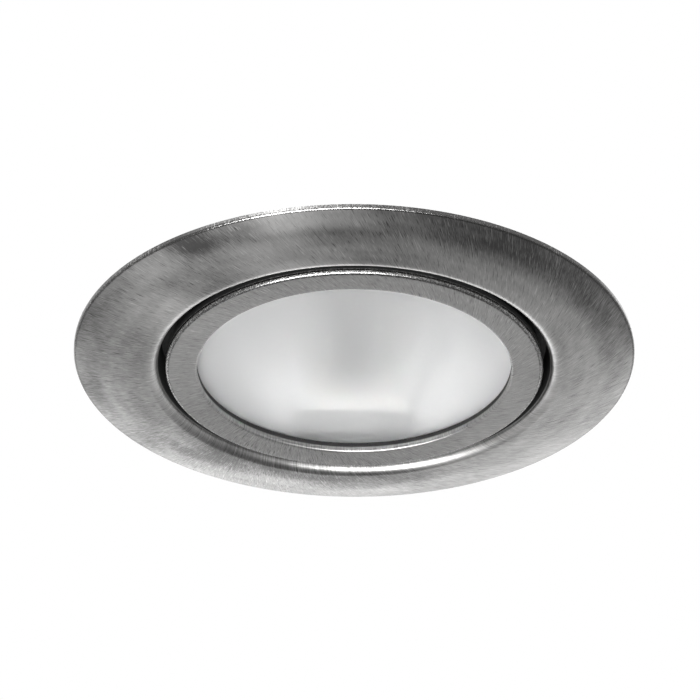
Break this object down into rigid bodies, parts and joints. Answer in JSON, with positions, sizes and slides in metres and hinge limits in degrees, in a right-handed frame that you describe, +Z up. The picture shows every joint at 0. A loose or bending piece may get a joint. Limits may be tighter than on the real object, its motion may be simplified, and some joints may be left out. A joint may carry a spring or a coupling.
{
  "type": "soffit downlight",
  "caption": "Round recessed downlight with a dished trim flange, a snap-in bezel with frosted glass, a capsule lamp and sprung side clips.",
  "frame": {"origin": "centre of the trim flange's seat plane, which bears on the soffit's underside", "axes": "+Z up into the soffit, the glass faces -Z, the clips lie on the X axis, the lamp holder lies at +Y"},
  "size_m": [0.085, 0.085, 0.0229],
  "materials": {
    "satin_nickel_flange": "satin brushed nickel plate on pressed steel",
    "satin_nickel_bezel": "satin brushed nickel plate on turned metal",
    "foam_seal": "black closed-cell foam",
    "zinc_sheet": "bright zinc-plated drawn sheet",
    "reflector_sheet": "bright spun aluminium",
    "ceramic": "white steatite",
    "contact_metal": "plated spring brass",
    "strap_steel": "plated steel strap",
    "screw_steel": "zinc-plated steel",
    "lead_sleeve": "white silicone sleeve",
    "black_rubber": "moulded rubber",
    "terminal_plastic": "natural nylon",
    "terminal_brass": "turned brass",
    "cover_plastic": "black moulded plastic, fine texture",
    "spring_steel": "plated spring steel",
    "rivet_steel": "plated rivet",
    "spring_wire": "spring wire",
    "clip_rubber": "dipped rubber",
    "lens_seal": "clear-white silicone",
    "frosted_glass": "frosted float glass",
    "snap_strip": "spring bronze strip",
    "lamp_glass": "clear quartz",
    "filament_wire": "tungsten wire",
    "pin_metal": "plated pin"
  },
  "bodies": {
    "fixture": {"trim_flange": "satin_nickel_flange", "flange_gasket": "foam_seal", "housing_can": "zinc_sheet", "reflector": "reflector_sheet", "lamp_holder": "ceramic", "holder_contacts": "contact_metal", "holder_bracket": "strap_steel", "holder_screws": "screw_steel", "holder_nuts": "screw_steel", "lead_left": "lead_sleeve", "lead_right": "lead_sleeve", "lead_grommet": "black_rubber", "terminal_block": "terminal_plastic", "terminal_inserts": "terminal_brass", "terminal_screws": "screw_steel", "block_screw": "screw_steel", "terminal_cover": "cover_plastic", "cover_screws": "screw_steel", "cable_grommet": "black_rubber", "clip_bracket_left": "spring_steel", "clip_bracket_right": "spring_steel", "bracket_rivets": "rivet_steel", "clip_pin_left": "rivet_steel", "clip_pin_right": "rivet_steel", "clip_spring_left": "spring_wire", "clip_spring_right": "spring_wire"},
    "clip_left": {"clip_arm_left": "spring_steel", "clip_sleeve_left": "clip_rubber"},
    "clip_right": {"clip_arm_right": "spring_steel", "clip_sleeve_right": "clip_rubber"},
    "bezel": {"bezel_ring": "satin_nickel_bezel", "lens_gasket": "lens_seal", "lens_glass": "frosted_glass", "lens_retainer": "spring_wire", "snap_springs": "snap_strip", "snap_rivets": "rivet_steel"},
    "lamp": {"lamp_capsule": "lamp_glass", "lamp_filament": "filament_wire", "lamp_pins": "pin_metal"}
  },
  "joints": [
    {"name": "clip_left", "type": "hinge", "parent": "fixture", "child": "clip_left", "pos_m": [-0.03465, 0, 0.0052], "axis": [0, 1, 0], "range_deg": [0, 96], "stiffness_Nm_per_rad": 0.02, "springref_deg": -28.65, "deforming": ["clip_spring_left"]},
    {"name": "clip_right", "type": "hinge", "parent": "fixture", "child": "clip_right", "pos_m": [0.03465, 0, 0.0052], "axis": [0, -1, 0], "range_deg": [0, 96], "stiffness_Nm_per_rad": 0.02, "springref_deg": -28.65, "deforming": ["clip_spring_right"]},
    {"name": "bezel_pull", "type": "slide", "parent": "fixture", "child": "bezel", "axis": [0, 0, -1], "range_m": [0, 0.025]},
    {"name": "lamp_pull", "type": "slide", "parent": "fixture", "child": "lamp", "axis": [0, -1, 0], "range_m": [0, 0.008]}
  ]
}
